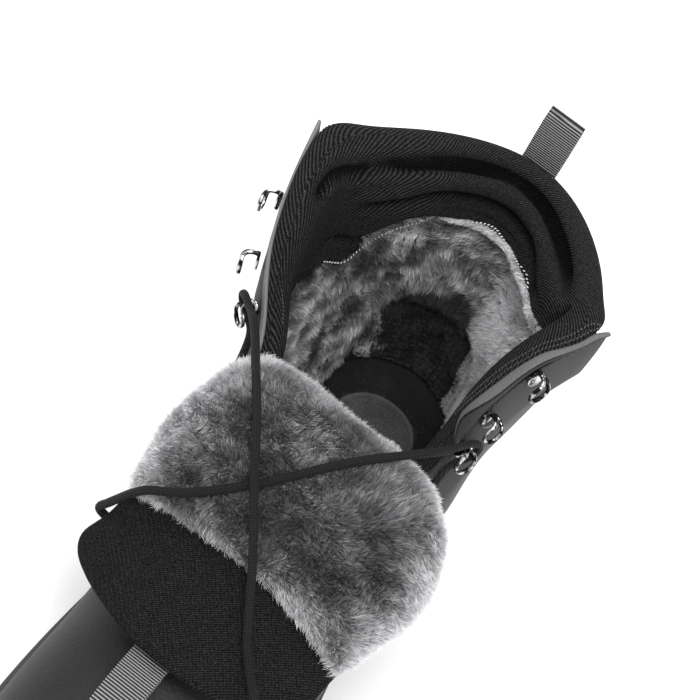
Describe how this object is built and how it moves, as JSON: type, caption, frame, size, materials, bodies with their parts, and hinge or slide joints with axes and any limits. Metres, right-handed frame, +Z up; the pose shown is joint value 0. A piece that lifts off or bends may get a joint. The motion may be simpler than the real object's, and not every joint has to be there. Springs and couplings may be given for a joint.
{
  "type": "snow boot",
  "caption": "Lined winter boot with padded collar, speed hooks, lug sole and a fleece tongue folded forward under a crossed lace.",
  "frame": {"origin": "on the floor under the middle of the heel, at the centre of the heel tread", "axes": "+Z up; the toe points along -Y; +X is the lateral side of this left boot, the right side of the picture"},
  "size_m": [0.1347, 0.3019, 0.1916],
  "materials": {
    "rubber": "moulded matt rubber",
    "midsole_foam": "matt foam",
    "footbed": "felted footbed",
    "leather": "matt smooth leather",
    "knit": "padded twill knit",
    "fleece": "deep plush pile",
    "heel_grip": "smooth lining",
    "webbing": "ribbed webbing",
    "cord": "braided lace",
    "hooks": "dark polished metal"
  },
  "bodies": {
    "root": {"outsole": "rubber", "midsole": "midsole_foam", "insole": "footbed", "upper": "leather", "eyestay_right": "leather", "eyestay_left": "leather", "backstay": "leather", "collar": "knit", "fleece_lining": "fleece", "heel_lining": "heel_grip", "tongue": "knit", "tongue_fleece": "fleece", "heel_loop": "webbing", "tongue_loop": "webbing", "lace": "cord", "lace_end_right": "cord", "lace_end_left": "cord", "hook_right_1": "hooks", "ring_right_1": "hooks", "hook_right_2": "hooks", "ring_right_2": "hooks", "hook_right_3": "hooks", "ring_right_3": "hooks", "hook_left_1": "hooks", "ring_left_1": "hooks", "hook_left_2": "hooks", "ring_left_2": "hooks", "hook_left_3": "hooks", "ring_left_3": "hooks"}
  },
  "joints": []
}
